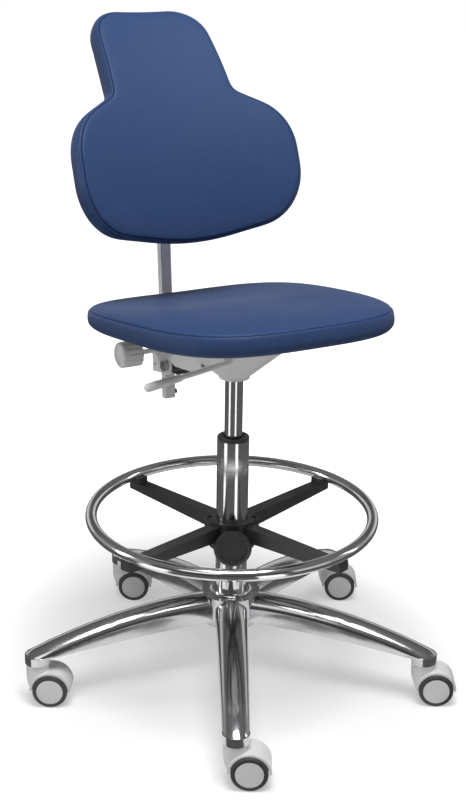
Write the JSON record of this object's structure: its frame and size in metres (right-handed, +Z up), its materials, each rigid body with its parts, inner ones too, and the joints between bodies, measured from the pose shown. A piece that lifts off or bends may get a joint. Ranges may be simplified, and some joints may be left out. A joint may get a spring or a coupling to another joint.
{
  "type": "dentist stool",
  "caption": "High swivel stool with padded seat and tongue-shaped back, gas lift, foot ring and five-legged base on twin-wheel casters.",
  "frame": {"origin": "on the floor under the axis of the column", "axes": "+Z up along the column; the sitter faces -Y; +X is at the sitter's left"},
  "size_m": [0.6707, 0.6603, 1.0172],
  "materials": {
    "polished_aluminium": "polished casting",
    "chrome": "bright chrome plate",
    "steel": "bright zinc",
    "dark_screws": "black oxide",
    "black_plastic": "fine grain",
    "white_paint": "satin powder coat",
    "plywood": "plain",
    "blue_leatherette": "leatherette, a coated fabric over foam, with a fine grain",
    "grey_plastic": "light grey, fine grain",
    "dark_tread": "soft dark grey tread"
  },
  "bodies": {
    "base": {"base_star": "polished_aluminium", "caster_stems": "steel", "outer_column": "chrome", "column_bush": "black_plastic", "thrust_bearing": "steel"},
    "piston": {"piston_rod": "steel", "rod_clip": "steel"},
    "lift": {"gas_cylinder": "chrome", "seat_mechanism": "white_paint", "seat_board": "plywood", "seat_cushion": "blue_leatherette", "seat_bolts": "steel", "pivot_bolt": "steel"},
    "release": {"release_pin": "steel"},
    "lever": {"lever_rod": "steel", "lever_grip": "grey_plastic"},
    "carrier": {"back_carrier": "black_plastic", "back_knob_screw": "steel"},
    "tilt_knob": {"back_knob": "grey_plastic"},
    "back": {"back_post": "chrome", "post_stop_screw": "dark_screws", "back_mount": "black_plastic", "back_shell": "black_plastic", "back_cushion": "blue_leatherette", "back_screws": "steel"},
    "ring": {"foot_ring": "chrome", "ring_spider": "black_plastic", "ring_screws": "dark_screws"},
    "ring_knob": {"clamp_knob": "black_plastic", "clamp_screw": "steel"},
    "caster_1": {"caster_1_hood": "grey_plastic", "caster_1_axle": "steel"},
    "wheel_1_left": {"caster_1_wheel_left": "dark_tread", "caster_1_cap_left": "grey_plastic"},
    "wheel_1_right": {"caster_1_wheel_right": "dark_tread", "caster_1_cap_right": "grey_plastic"},
    "caster_2": {"caster_2_hood": "grey_plastic", "caster_2_axle": "steel"},
    "wheel_2_left": {"caster_2_wheel_left": "dark_tread", "caster_2_cap_left": "grey_plastic"},
    "wheel_2_right": {"caster_2_wheel_right": "dark_tread", "caster_2_cap_right": "grey_plastic"},
    "caster_3": {"caster_3_hood": "grey_plastic", "caster_3_axle": "steel"},
    "wheel_3_left": {"caster_3_wheel_left": "dark_tread", "caster_3_cap_left": "grey_plastic"},
    "wheel_3_right": {"caster_3_wheel_right": "dark_tread", "caster_3_cap_right": "grey_plastic"},
    "caster_4": {"caster_4_hood": "grey_plastic", "caster_4_axle": "steel"},
    "wheel_4_left": {"caster_4_wheel_left": "dark_tread", "caster_4_cap_left": "grey_plastic"},
    "wheel_4_right": {"caster_4_wheel_right": "dark_tread", "caster_4_cap_right": "grey_plastic"},
    "caster_5": {"caster_5_hood": "grey_plastic", "caster_5_axle": "steel"},
    "wheel_5_left": {"caster_5_wheel_left": "dark_tread", "caster_5_cap_left": "grey_plastic"},
    "wheel_5_right": {"caster_5_wheel_right": "dark_tread", "caster_5_cap_right": "grey_plastic"}
  },
  "joints": [
    {"name": "seat_swivel", "type": "hinge", "parent": "base", "child": "piston", "pos_m": [0, 0, 0], "axis": [0, 0, 1], "continuous": true},
    {"name": "gas_lift", "type": "slide", "parent": "piston", "child": "lift", "axis": [0, 0, 1], "range_m": [-0.05, 0.15]},
    {"name": "release_press", "type": "slide", "parent": "lift", "child": "release", "axis": [0, 0, -1], "range_m": [0, 0.0045]},
    {"name": "lever_lift", "type": "hinge", "parent": "lift", "child": "lever", "pos_m": [-0.049, 0, 0.5553], "axis": [0, 1, 0], "range_deg": [0, 5], "stiffness_Nm_per_rad": 2, "springref_deg": -8.59},
    {"name": "back_tilt", "type": "hinge", "parent": "lift", "child": "carrier", "pos_m": [0, 0.15863, 0.47987], "axis": [-1, 0, 0], "range_deg": [-4, 10]},
    {"name": "tilt_knob_turn", "type": "hinge", "parent": "carrier", "child": "tilt_knob", "pos_m": [0, 0.18899, 0.4983], "axis": [-1, 0, 0], "range_deg": [0, 720]},
    {"name": "back_height", "type": "slide", "parent": "carrier", "child": "back", "axis": [0, 0.0698, 0.9976], "range_m": [-0.03, 0.037]},
    {"name": "ring_height", "type": "slide", "parent": "base", "child": "ring", "axis": [0, 0, 1], "range_m": [-0.06, 0.02]},
    {"name": "ring_knob_turn", "type": "hinge", "parent": "ring", "child": "ring_knob", "pos_m": [0, 0, 0.2425], "axis": [-0.4695, -0.8829, 0], "range_deg": [0, 540]},
    {"name": "caster_1_swivel", "type": "hinge", "parent": "base", "child": "caster_1", "pos_m": [0.21951, -0.22731, 0], "axis": [0, 0, 1], "continuous": true},
    {"name": "wheel_1_left_roll", "type": "hinge", "parent": "caster_1", "child": "wheel_1_left", "pos_m": [0.23666, -0.23761, 0.027], "axis": [0.515, 0.8572, 0], "continuous": true},
    {"name": "wheel_1_right_roll", "type": "hinge", "parent": "caster_1", "child": "wheel_1_right", "pos_m": [0.23666, -0.23761, 0.027], "axis": [0.515, 0.8572, 0], "continuous": true},
    {"name": "caster_2_swivel", "type": "hinge", "parent": "base", "child": "caster_2", "pos_m": [0.28402, 0.13853, 0], "axis": [0, 0, 1], "continuous": true},
    {"name": "wheel_2_left_roll", "type": "hinge", "parent": "caster_2", "child": "wheel_2_left", "pos_m": [0.30116, 0.12823, 0.027], "axis": [0.515, 0.8572, 0], "continuous": true},
    {"name": "wheel_2_right_roll", "type": "hinge", "parent": "caster_2", "child": "wheel_2_right", "pos_m": [0.30116, 0.12823, 0.027], "axis": [0.515, 0.8572, 0], "continuous": true},
    {"name": "caster_3_swivel", "type": "hinge", "parent": "base", "child": "caster_3", "pos_m": [-0.04398, 0.31293, 0], "axis": [0, 0, 1], "continuous": true},
    {"name": "wheel_3_left_roll", "type": "hinge", "parent": "caster_3", "child": "wheel_3_left", "pos_m": [-0.02684, 0.30262, 0.027], "axis": [0.515, 0.8572, 0], "continuous": true},
    {"name": "wheel_3_right_roll", "type": "hinge", "parent": "caster_3", "child": "wheel_3_right", "pos_m": [-0.02684, 0.30262, 0.027], "axis": [0.515, 0.8572, 0], "continuous": true},
    {"name": "caster_4_swivel", "type": "hinge", "parent": "base", "child": "caster_4", "pos_m": [-0.3112, 0.05487, 0], "axis": [0, 0, 1], "continuous": true},
    {"name": "wheel_4_left_roll", "type": "hinge", "parent": "caster_4", "child": "wheel_4_left", "pos_m": [-0.29406, 0.04457, 0.027], "axis": [0.515, 0.8572, 0], "continuous": true},
    {"name": "wheel_4_right_roll", "type": "hinge", "parent": "caster_4", "child": "wheel_4_right", "pos_m": [-0.29406, 0.04457, 0.027], "axis": [0.515, 0.8572, 0], "continuous": true},
    {"name": "caster_5_swivel", "type": "hinge", "parent": "base", "child": "caster_5", "pos_m": [-0.14835, -0.27901, 0], "axis": [0, 0, 1], "continuous": true},
    {"name": "wheel_5_left_roll", "type": "hinge", "parent": "caster_5", "child": "wheel_5_left", "pos_m": [-0.13121, -0.28931, 0.027], "axis": [0.515, 0.8572, 0], "continuous": true},
    {"name": "wheel_5_right_roll", "type": "hinge", "parent": "caster_5", "child": "wheel_5_right", "pos_m": [-0.13121, -0.28931, 0.027], "axis": [0.515, 0.8572, 0], "continuous": true}
  ],
  "couplings": [
    {"joint": "release_press", "follows": "lever_lift", "m_per_rad": 0.049}
  ]
}
